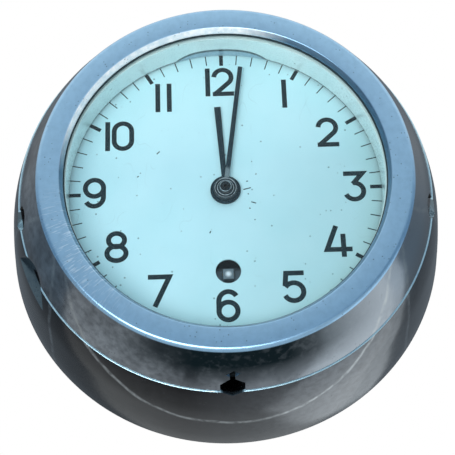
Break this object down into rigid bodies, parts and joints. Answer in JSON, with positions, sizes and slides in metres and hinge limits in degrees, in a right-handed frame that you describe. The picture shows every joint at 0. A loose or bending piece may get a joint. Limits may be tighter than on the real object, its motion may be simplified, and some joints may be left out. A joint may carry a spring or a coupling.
{
  "type": "ships deck clock",
  "caption": "Round flared metal bulkhead clock with a hinged, key-locked glazed cover, white dial, two dark hands and a spring-driven lever movement.",
  "frame": {"origin": "centre of the flat back face that lies against the bulkhead", "axes": "+Z towards 12 o'clock, +X towards 3 o'clock, +Y into the bulkhead, so the dial faces -Y"},
  "size_m": [0.22, 0.0797, 0.22],
  "materials": {
    "case_nickel": "worn nickel plate on cast brass, dark and scratched",
    "bezel_nickel": "worn satin nickel plate on cast brass",
    "window_glass": "polished flat glass",
    "gasket_rubber": "matt black rubber",
    "cream_paint": "gloss cream paint, chipped",
    "dial_enamel": "satin white paint with black printed numerals",
    "blued_steel": "dark blued steel, satin",
    "steel": "machined steel",
    "spring_steel": "tempered spring steel",
    "movement_brass": "brushed clock brass"
  },
  "bodies": {
    "case": {"case_base": "case_nickel", "hinge_pin": "steel", "lock_bracket": "steel", "dial_plate": "dial_enamel", "minute_wheel_stud": "steel", "back_plate": "movement_brass", "front_plate": "movement_brass", "movement_post_1": "movement_brass", "movement_post_2": "movement_brass", "movement_post_3": "movement_brass", "post_screw_1": "steel", "post_screw_2": "steel", "post_screw_3": "steel", "movement_pillar_1": "movement_brass", "movement_pillar_2": "movement_brass", "movement_pillar_3": "movement_brass", "movement_pillar_4": "movement_brass", "click_stud": "steel", "hairspring": "spring_steel"},
    "front_cover": {"front_cover": "bezel_nickel", "glass_gasket": "gasket_rubber", "cover_glass": "window_glass", "glass_retaining_ring": "cream_paint", "cover_catch": "steel"},
    "lock_spindle": {"lock_spindle": "steel"},
    "minute_hand": {"minute_hand": "blued_steel", "hand_nut": "steel", "cannon_pinion": "steel"},
    "minute_wheel": {"minute_wheel": "movement_brass"},
    "hour_hand": {"hour_hand": "blued_steel", "hour_wheel": "movement_brass"},
    "winding_arbor": {"barrel_arbor": "steel", "ratchet_wheel": "steel"},
    "click": {"click": "steel"},
    "barrel": {"barrel_drum": "movement_brass", "barrel_cap": "movement_brass", "mainspring": "spring_steel"},
    "intermediate_wheel": {"intermediate_wheel": "movement_brass"},
    "centre_wheel": {"centre_wheel": "movement_brass"},
    "third_wheel": {"third_wheel": "movement_brass"},
    "fourth_wheel": {"fourth_wheel": "movement_brass"},
    "escape_wheel": {"escape_wheel": "movement_brass"},
    "pallet_lever": {"pallet_lever": "steel"},
    "balance_wheel": {"balance_wheel": "movement_brass"},
    "regulator_lever": {"regulator_lever": "steel"}
  },
  "joints": [
    {"name": "cover_hinge", "type": "hinge", "parent": "case", "child": "front_cover", "pos_m": [0, -0.0543, 0.1006], "axis": [-1, 0, 0], "range_deg": [0, 105]},
    {"name": "lock_turn", "type": "hinge", "parent": "case", "child": "lock_spindle", "pos_m": [0, -0.0593, -0.0885], "axis": [0, 0, -1], "range_deg": [0, 90]},
    {"name": "minute_hand_turn", "type": "hinge", "parent": "case", "child": "minute_hand", "pos_m": [0, -0.059, 0], "axis": [0, 1, 0], "continuous": true},
    {"name": "hour_hand_turn", "type": "hinge", "parent": "case", "child": "hour_hand", "pos_m": [0, -0.057, 0], "axis": [0, 1, 0], "continuous": true},
    {"name": "minute_wheel_turn", "type": "hinge", "parent": "case", "child": "minute_wheel", "pos_m": [0.00919, -0.047, 0.00771], "axis": [0, 1, 0], "continuous": true},
    {"name": "winding_arbor_turn", "type": "hinge", "parent": "case", "child": "winding_arbor", "pos_m": [0, -0.047, -0.0415], "axis": [0, 1, 0], "continuous": true},
    {"name": "click_lift", "type": "hinge", "parent": "case", "child": "click", "pos_m": [0.0123, -0.047, -0.0344], "axis": [0, 1, 0], "range_deg": [0, 12], "stiffness_Nm_per_rad": 0.002, "springref_deg": -11.46},
    {"name": "fourth_wheel_turn", "type": "hinge", "parent": "case", "child": "fourth_wheel", "pos_m": [0.01036, -0.035, 0.02338], "axis": [0, 1, 0], "continuous": true},
    {"name": "third_wheel_turn", "type": "hinge", "parent": "case", "child": "third_wheel", "pos_m": [0.01559, -0.029, 0.009], "axis": [0, 1, 0], "continuous": true},
    {"name": "centre_wheel_turn", "type": "hinge", "parent": "case", "child": "centre_wheel", "pos_m": [0, -0.033, 0], "axis": [0, 1, 0], "continuous": true},
    {"name": "intermediate_wheel_turn", "type": "hinge", "parent": "case", "child": "intermediate_wheel", "pos_m": [-0.00863, -0.039, -0.01782], "axis": [0, 1, 0], "continuous": true},
    {"name": "barrel_turn", "type": "hinge", "parent": "case", "child": "barrel", "pos_m": [0, -0.03, -0.0415], "axis": [0, 1, 0], "continuous": true},
    {"name": "escape_wheel_turn", "type": "hinge", "parent": "case", "child": "escape_wheel", "pos_m": [-0.00164, -0.027, 0.02659], "axis": [0, 1, 0], "continuous": true},
    {"name": "pallet_lever_rock", "type": "hinge", "parent": "case", "child": "pallet_lever", "pos_m": [-0.00952, -0.027, 0.02798], "axis": [0, 1, 0], "range_deg": [-5, 5]},
    {"name": "balance_swing", "type": "hinge", "parent": "case", "child": "balance_wheel", "pos_m": [-0.01986, -0.031, 0.02616], "axis": [0, 1, 0], "range_deg": [-220, 220], "stiffness_Nm_per_rad": 0.00002},
    {"name": "regulator_shift", "type": "hinge", "parent": "case", "child": "regulator_lever", "pos_m": [-0.01986, -0.04, 0.02616], "axis": [0, 1, 0], "range_deg": [-25, 25]}
  ],
  "couplings": [
    {"joint": "minute_wheel_turn", "follows": "minute_hand_turn", "ratio": -0.33333},
    {"joint": "hour_hand_turn", "follows": "minute_hand_turn", "ratio": 0.083333},
    {"joint": "third_wheel_turn", "follows": "fourth_wheel_turn", "ratio": -0.13333},
    {"joint": "centre_wheel_turn", "follows": "fourth_wheel_turn", "ratio": 0.016667},
    {"joint": "intermediate_wheel_turn", "follows": "fourth_wheel_turn", "ratio": -0.0037037},
    {"joint": "barrel_turn", "follows": "fourth_wheel_turn", "ratio": 0.00074074},
    {"joint": "escape_wheel_turn", "follows": "fourth_wheel_turn", "ratio": -8}
  ]
}
